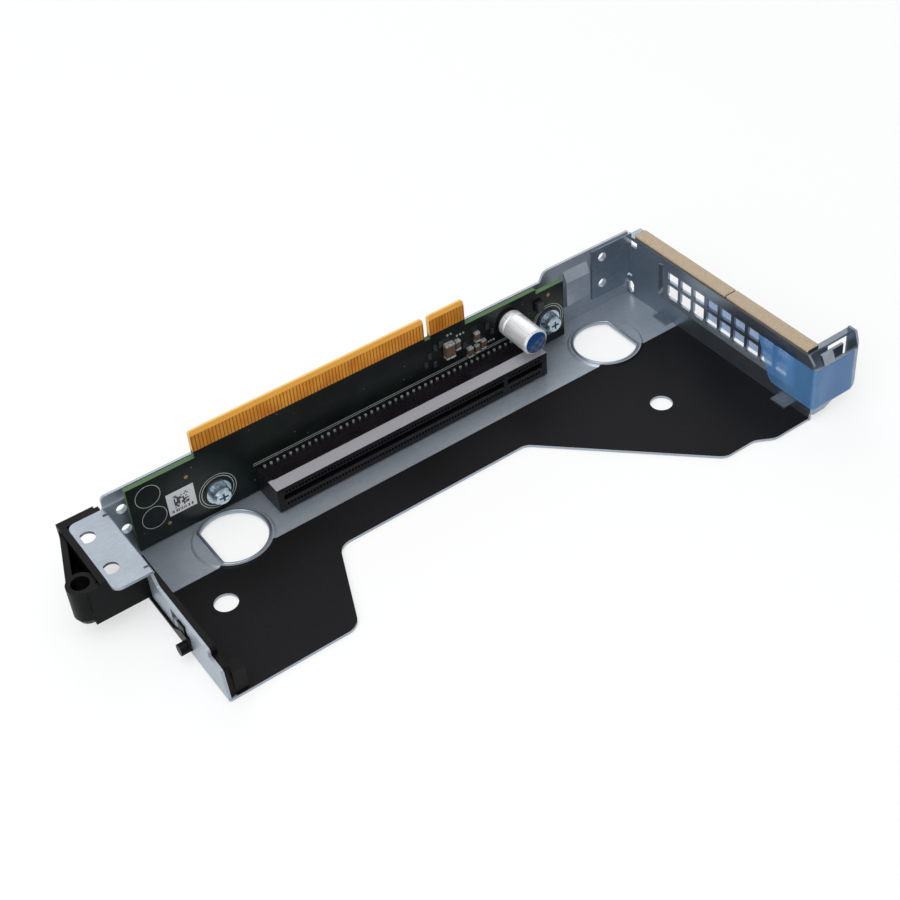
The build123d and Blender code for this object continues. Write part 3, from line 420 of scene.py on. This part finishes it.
def goldPlate(name, look):
    material, shader = newMaterial(name)
    place = addNode(material, "TexCoord").outputs["Object"]
    down = addNode(material, "Mapping", inputs={"Vector": place, "Scale": look["stretch"]})
    wipes = addNode(material, "TexNoise",
                    inputs={"Vector": down, "Scale": perMetre / look["scratchMm"], "Detail": 2.0})
    tone = addNode(material, "TexNoise",
                   inputs={"Vector": place, "Scale": perMetre / look["toneMm"], "Detail": 1.0})
    share = addNode(material, "MapRange", inputs={"Value": tone, **noiseSpan})
    color = addNode(material, "Mix", {"data_type": "RGBA"}, {0: share, 6: look["deep"], 7: look["pale"]})
    rough = addNode(material, "MapRange", inputs={
        "Value": wipes, **noiseSpan, "To Min": look["roughLow"], "To Max": look["roughHigh"]})
    feed(material, shader, {"Base Color": color.outputs[2], "Roughness": rough, "Metallic": look["metal"]})
    return material


# tin and bright zinc: small wet-looking highlights on a lumpy skin
tinLook = {
    "pale": "#f2f4f5", "deep": "#c6cace", "lumpMm": 0.6, "depthMm": 0.03, "bump": 0.7, "roughLow": 0.23,
    "roughHigh": 0.38, "metal": 0.7,
}
screwLook = dict(tinLook, pale="#c9d5de", deep="#8fa3b3", lumpMm=0.9, depthMm=0.01, roughLow=0.15, roughHigh=0.3,
                 metal=0.9)


def brightPlate(name, look):
    material, shader = newMaterial(name)
    place = addNode(material, "TexCoord").outputs["Object"]
    lumps = addNode(material, "TexNoise",
                    inputs={"Vector": place, "Scale": perMetre / look["lumpMm"], "Detail": 2.0})
    share = addNode(material, "MapRange", inputs={"Value": lumps, **noiseSpan})
    color = addNode(material, "Mix", {"data_type": "RGBA"}, {0: share, 6: look["deep"], 7: look["pale"]})
    rough = addNode(material, "MapRange", inputs={
        "Value": lumps, **noiseSpan, "To Min": look["roughLow"], "To Max": look["roughHigh"]})
    bump = addNode(material, "Bump", inputs={
        "Height": lumps, "Distance": look["depthMm"] * mm, "Strength": look["bump"]})
    feed(material, shader, {"Base Color": color.outputs[2], "Roughness": rough, "Normal": bump,
                            "Metallic": look["metal"]})
    return material


# drawn aluminium can under clear lacquer: pale satin grey, its end printed in two blues
canLook = {
    "body": "#eceef0", "shade": "#dcdfe2", "upper": "#154a86", "lower": "#3a5076", "mark": "#9aa9c4",
    "axisX": 110.97, "axisZ": 16.15, "endY": 16.69, "printR": 3.4, "chordUp": 0.5, "chordTilt": 0.38,
    "markMm": 1.3, "markShare": 0.2, "brushMm": 0.3, "stretch": (1, 0.06, 1), "roughLow": 0.25,
    "roughHigh": 0.38, "metal": 0.5, "inkMetal": 0.1,
}


def printedCan(name, look):
    material, shader = newMaterial(name)
    place = addNode(material, "TexCoord").outputs["Object"]
    parts = addNode(material, "SeparateXYZ", inputs={0: place})
    x, y, z = (parts.outputs[k] for k in "XYZ")
    along = addNode(material, "Mapping", inputs={"Vector": place, "Scale": look["stretch"]})
    brushed = addNode(material, "TexNoise",
                      inputs={"Vector": along, "Scale": perMetre / look["brushMm"], "Detail": 2.0})
    share = addNode(material, "MapRange", inputs={"Value": brushed, **noiseSpan})
    color = addNode(material, "Mix", {"data_type": "RGBA"}, {0: share, 6: look["shade"], 7: look["body"]})
    across = addNode(material, "Math", {"operation": "SUBTRACT"}, {0: x, 1: look["axisX"] * mm})
    up = addNode(material, "Math", {"operation": "SUBTRACT"}, {0: z, 1: look["axisZ"] * mm})
    spot = addNode(material, "CombineXYZ", inputs={0: across, 1: up})
    away = addNode(material, "VectorMath", {"operation": "LENGTH"}, {0: spot}).outputs["Value"]
    inside = addNode(material, "Math", {"operation": "LESS_THAN"}, {0: away, 1: look["printR"] * mm})
    end = addNode(material, "Math", {"operation": "LESS_THAN"}, {0: y, 1: look["endY"] * mm})
    onEnd = addNode(material, "Math", {"operation": "MULTIPLY"}, {0: end, 1: inside})
    tilt = addNode(material, "Math", {"operation": "MULTIPLY"}, {0: across, 1: -look["chordTilt"]})
    height = addNode(material, "Math", {"operation": "ADD"}, {0: up, 1: tilt})
    above = addNode(material, "Math", {"operation": "GREATER_THAN"}, {0: height, 1: look["chordUp"] * mm})
    checks = addNode(material, "TexChecker", inputs={"Vector": place, "Scale": perMetre / look["markMm"]})
    marks = addNode(material, "Math", {"operation": "MULTIPLY"}, {0: checks.outputs["Fac"], 1: look["markShare"]})
    lower = addNode(material, "Mix", {"data_type": "RGBA"}, {0: marks, 6: look["lower"], 7: look["mark"]})
    ink = addNode(material, "Mix", {"data_type": "RGBA"}, {0: above, 6: lower.outputs[2], 7: look["upper"]})
    color = addNode(material, "Mix", {"data_type": "RGBA"}, {0: onEnd, 6: color.outputs[2], 7: ink.outputs[2]})
    metal = addNode(material, "MapRange", inputs={
        "Value": onEnd, "To Min": look["metal"], "To Max": look["inkMetal"]})
    rough = addNode(material, "MapRange", inputs={
        "Value": brushed, **noiseSpan, "To Min": look["roughLow"], "To Max": look["roughHigh"]})
    feed(material, shader, {"Base Color": color.outputs[2], "Metallic": metal, "Roughness": rough})
    return material


# fired ceramic of small parts, rubber and foam: matt, brown or black, faintly speckled
brownLook = {
    "base": "#4a3a2e", "speck": "#6a5442", "speckMm": 0.3, "contrast": (0.45, 0.65), "roughLow": 0.42,
    "roughHigh": 0.58, "depthMm": 0.02, "bump": 0.4,
}
blackLook = dict(brownLook, base="#1b1c1f", speck="#3a3c40", speckMm=0.35, roughLow=0.32, roughHigh=0.48)
rubberLook = dict(brownLook, base="#17181a", speck="#242527", roughLow=0.62, roughHigh=0.78)
foamLook = dict(brownLook, base="#0c0c0d", speck="#1d1d1f", speckMm=0.25, roughLow=0.82, roughHigh=0.98)


def speckled(name, look):
    material, shader = newMaterial(name)
    place = addNode(material, "TexCoord").outputs["Object"]
    specks = addNode(material, "TexNoise",
                     inputs={"Vector": place, "Scale": perMetre / look["speckMm"], "Detail": 3.0})
    low, high = look["contrast"]
    share = addNode(material, "MapRange", inputs={"Value": specks, "From Min": low, "From Max": high})
    color = addNode(material, "Mix", {"data_type": "RGBA"}, {0: share, 6: look["base"], 7: look["speck"]})
    rough = addNode(material, "MapRange", inputs={
        "Value": specks, **noiseSpan, "To Min": look["roughLow"], "To Max": look["roughHigh"]})
    bump = addNode(material, "Bump", inputs={
        "Height": specks, "Distance": look["depthMm"] * mm, "Strength": look["bump"]})
    feed(material, shader, {"Base Color": color.outputs[2], "Roughness": rough, "Normal": bump})
    return material


# coated paper label: off-white, with a square of small dark cells and a row of plain bars
paperLook = {
    "paper": "#dfe2e4", "ink": "#3a3d42", "cellMm": 0.42, "left": 1.1, "low": 7.4, "w": 7.9,
    "codeW": 4.2, "codeIn": 1.85, "codeUp": 1.9, "darkShare": 0.5, "barMm": 0.5, "barUp": (0.6, 1.5),
    "barIn": 0.6, "fibreMm": 0.2, "fibreShare": 0.12, "rough": 0.55, "depthMm": 0.01, "bump": 0.4,
}


def printedPaper(name, look):
    material, shader = newMaterial(name)
    place = addNode(material, "TexCoord").outputs["Object"]
    parts = addNode(material, "SeparateXYZ", inputs={0: place})
    x, z = parts.outputs["X"], parts.outputs["Z"]
    cell = addNode(material, "VectorMath", {"operation": "SNAP"}, {0: place, 1: (look["cellMm"] * mm,) * 3})
    flat = addNode(material, "VectorMath", {"operation": "MULTIPLY"}, {0: cell, 1: (1, 0, 1)})
    chance = addNode(material, "TexWhiteNoise", {"noise_dimensions": "3D"}, {"Vector": flat})
    dark = addNode(material, "Math", {"operation": "LESS_THAN"}, {0: chance, 1: look["darkShare"]})
    wobble = addNode(material, "TexNoise", {"noise_dimensions": "1D"}, {"W": x, "Scale": perMetre / look["barMm"]})
    bars = addNode(material, "Math", {"operation": "GREATER_THAN"}, {0: wobble, 1: 0.5})
    codeLeft, codeLow = look["left"] + look["codeIn"], look["low"] + look["codeUp"]
    barLow, barHigh = (look["low"] + rise for rise in look["barUp"])
    windows = [
        (dark, (codeLeft, codeLeft + look["codeW"]), (codeLow, codeLow + look["codeW"])),
        (bars, (look["left"] + look["barIn"], look["left"] + look["w"] - look["barIn"]), (barLow, barHigh)),
    ]
    printed = 0.0
    for pattern, acrossSpan, upSpan in windows:
        for socket, (low, high) in ((x, acrossSpan), (z, upSpan)):
            within = addNode(material, "Math", {"operation": "COMPARE"},
                             {0: socket, 1: (low + high) / 2 * mm, 2: (high - low) / 2 * mm})
            pattern = addNode(material, "Math", {"operation": "MULTIPLY"}, {0: pattern, 1: within})
        printed = addNode(material, "Math", {"operation": "MAXIMUM"}, {0: printed, 1: pattern})
    fibres = addNode(material, "TexNoise",
                     inputs={"Vector": place, "Scale": perMetre / look["fibreMm"], "Detail": 2.0})
    share = addNode(material, "MapRange", inputs={
        "Value": fibres, **noiseSpan, "To Min": 0.0, "To Max": look["fibreShare"]})
    color = addNode(material, "Mix", {"data_type": "RGBA"}, {0: share, 6: look["paper"], 7: look["ink"]})
    color = addNode(material, "Mix", {"data_type": "RGBA"}, {0: printed, 6: color.outputs[2], 7: look["ink"]})
    bump = addNode(material, "Bump", inputs={
        "Height": fibres, "Distance": look["depthMm"] * mm, "Strength": look["bump"]})
    feed(material, shader, {"Base Color": color.outputs[2], "Normal": bump, "Roughness": look["rough"]})
    return material


# nickel-plated polyester cloth: a tan weave with a dull metal sheen
clothLook = {
    "light": "#b9a890", "dark": "#a7957d", "yarnMm": 0.45, "distortion": 1.2, "fuzzMm": 0.7, "weave": 0.55,
    "contrast": (0.35, 0.95), "rough": 0.6, "metal": 0.2, "depthMm": 0.02, "bump": 0.4,
}


def wovenCloth(name, look):
    # the yarns are drawn coarser than real ones, so that they show
    material, shader = newMaterial(name)
    place = addNode(material, "TexCoord").outputs["Object"]
    waves = []
    for axis in ("X", "Y"):
        waves.append(addNode(material, "TexWave", {"bands_direction": axis}, {
            "Vector": place, "Scale": perMetre / look["yarnMm"] / (2 * math.pi),
            "Distortion": look["distortion"], "Detail Scale": 2.0}).outputs["Fac"])
    weave = addNode(material, "Math", {"operation": "MULTIPLY"}, {0: waves[0], 1: waves[1]})
    fuzz = addNode(material, "TexNoise",
                   inputs={"Vector": place, "Scale": perMetre / look["fuzzMm"], "Detail": 3.0})
    height = addNode(material, "Math", {"operation": "MULTIPLY_ADD"}, {0: weave, 1: look["weave"], 2: fuzz})
    low, high = look["contrast"]
    share = addNode(material, "MapRange", inputs={"Value": height, "From Min": low, "From Max": high})
    color = addNode(material, "Mix", {"data_type": "RGBA"}, {0: share, 6: look["dark"], 7: look["light"]})
    bump = addNode(material, "Bump", inputs={
        "Height": height, "Distance": look["depthMm"] * mm, "Strength": look["bump"]})
    feed(material, shader, {"Base Color": color.outputs[2], "Normal": bump, "Roughness": look["rough"],
                            "Metallic": look["metal"]})
    return material


steel = zincSteel("zincPlatedSteel", steelLook)
brightSteel = zincSteel("brightZincPlatedSteel", bracketLook)
tin = brightPlate("meltedTin", tinLook)
bolt = brightPlate("bluePassivatedZinc", screwLook)
gold = goldPlate("hardGoldPlate", goldLook)
blackCeramic = speckled("blackCeramic", blackLook)
looks = {
    "tray": steel, "rear_plate": steel, "vent_bracket": brightSteel,
    "insulator_film": blackFilm("blackPolyesterFilm", filmLook),
    "touch_label": blueFilm("bluePolycarbonateFilm", blueLook),
    "guide": mouldedPlastic("mouldedPolyamide", plasticLook),
    "circuit_board": laminateBoard("glassLaminate", boardLook),
    "edge_contacts_front": gold, "edge_contacts_rear": gold,
    "slot_housing": mouldedPlastic("glossyCrystalPolymer", slotLook),
    "slot_contacts_upper": gold, "slot_contacts_lower": gold,
    "slot_tails": tin, "capacitor_can": printedCan("lacqueredAluminium", canLook),
    "capacitor_seal": speckled("butylRubber", rubberLook),
    "chip_capacitors": speckled("brownCeramic", brownLook), "chip_terminals": tin, "chip_resistors": blackCeramic,
    "block_inductor": blackCeramic, "solder_points": tin,
    "board_label": printedPaper("coatedPaper", paperLook),
    "flat_washers": bolt, "spring_washers": bolt, "board_screws": bolt, "standoffs": bolt,
}
for node, material in looks.items():
    dress(node, material)
print("nodes dressed")

# gasket: two lengths of cloth over foam, butted together, with the black foam showing at the cut ends
gasket = {
    "joint": -7.6, "gap": 0.2, "round": 0.3, "foamRound": 0.1, "core": 0.25, "sag": 0.05, "sagMm": 4.0,
    "voxelMm": 0.22, "segments": 3, "smoothAngle": 50,
}


def gasketLength(name, low, high, material, roundMm, setup):
    bpy.ops.object.select_all(action="DESELECT")
    bpy.ops.mesh.primitive_cube_add(size=1, location=[(a + b) / 2 for a, b in zip(low, high)])
    piece = bpy.context.object
    piece.name = name
    piece.scale = [b - a for a, b in zip(low, high)]
    bpy.ops.object.transform_apply(location=True, rotation=True, scale=True)
    bpy.ops.object.mode_set(mode="EDIT")
    bpy.ops.mesh.select_all(action="SELECT")
    bpy.ops.mesh.bevel(offset=roundMm * mm, segments=setup["segments"], affect="EDGES")
    bpy.ops.object.mode_set(mode="OBJECT")
    # even faces, pressed in a little here and there, as soft foam is
    remesh = piece.modifiers.new("even", "REMESH")
    remesh.mode, remesh.voxel_size = "VOXEL", setup["voxelMm"] * mm
    soft = bpy.data.textures.new(name + "Sag", "CLOUDS")
    soft.noise_scale = setup["sagMm"] * mm
    sag = piece.modifiers.new("sag", "DISPLACE")
    sag.texture, sag.strength, sag.mid_level = soft, setup["sag"] * mm, 1.0
    for modifier in (remesh.name, sag.name):
        bpy.ops.object.modifier_apply(modifier=modifier)
    bpy.ops.object.shade_smooth_by_angle(angle=math.radians(setup["smoothAngle"]))
    piece.data.materials.append(material)
    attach(piece, "root")
    return piece


def addGasket(setup):
    low, high = (Vector(corner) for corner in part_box("emi_gasket"))
    cloth = wovenCloth("platedPolyesterCloth", clothLook)
    foam = speckled("blackUrethaneFoam", foamLook)
    joint, gap, core = (setup[k] * mm for k in ("joint", "gap", "core"))
    pieces = [
        gasketLength("gasketFront", (low.x, low.y + core, low.z), (high.x, joint - gap / 2, high.z),
                     cloth, setup["round"], setup),
        gasketLength("gasketBack", (low.x, joint + gap / 2, low.z), (high.x, high.y - core, high.z),
                     cloth, setup["round"], setup),
        gasketLength("gasketFoam", (low.x + core, low.y, low.z + core / 2),
                     (high.x - core, high.y, high.z - core), foam, setup["foamRound"], setup),
    ]
    for piece in pieces:
        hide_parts("emi_gasket")


addGasket(gasket)
print("gasket made")

# bead rolled along the edge of each finger opening: a circle with one side cut flat, as a round wire half sunk
bead = {
    "left": {"name": "openingBeadLeft", "x": 12.6, "side": -1},
    "right": {"name": "openingBeadRight", "x": 137.5, "side": 1},
    "y": 18.7, "z": 1.3, "radius": 9.75, "flat": 6.9, "wire": 0.4, "cuts": 96, "wireCuts": 4,
    "smoothAngle": 60, "near": 0.01,
}


def addBead(place, setup):
    middle = Vector((place["x"], setup["y"], setup["z"])) * mm
    bpy.ops.object.select_all(action="DESELECT")
    bpy.ops.mesh.primitive_circle_add(vertices=setup["cuts"], radius=setup["radius"] * mm, location=middle)
    piece = bpy.context.object
    piece.name = place["name"]
    bpy.ops.object.transform_apply(location=True, rotation=True, scale=True)
    # cut off at the flat, then the two ends joined by a straight edge
    cut = middle + Vector((place["side"] * setup["flat"] * mm, 0, 0))
    bpy.ops.object.mode_set(mode="EDIT")
    bpy.ops.mesh.select_all(action="SELECT")
    bpy.ops.mesh.bisect(plane_co=cut, plane_no=(place["side"], 0, 0), clear_outer=True)
    bpy.ops.mesh.select_all(action="DESELECT")
    bpy.ops.object.mode_set(mode="OBJECT")
    for vertex in piece.data.vertices:
        vertex.select = abs(vertex.co.x - cut.x) < setup["near"] * mm
    bpy.ops.object.mode_set(mode="EDIT")
    bpy.ops.mesh.edge_face_add()
    bpy.ops.object.mode_set(mode="OBJECT")
    # the outline becomes a round wire, and a mesh again
    bpy.ops.object.convert(target="CURVE")
    piece = bpy.context.object
    piece.data.bevel_depth, piece.data.bevel_resolution = setup["wire"] * mm, setup["wireCuts"]
    bpy.ops.object.convert(target="MESH")
    piece = bpy.context.object
    bpy.ops.object.shade_smooth_by_angle(angle=math.radians(setup["smoothAngle"]))
    piece.data.materials.clear()
    piece.data.materials.append(brightSteel)
    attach(piece, "root")


addBead(bead["left"], bead)
addBead(bead["right"], bead)
print("beads made")
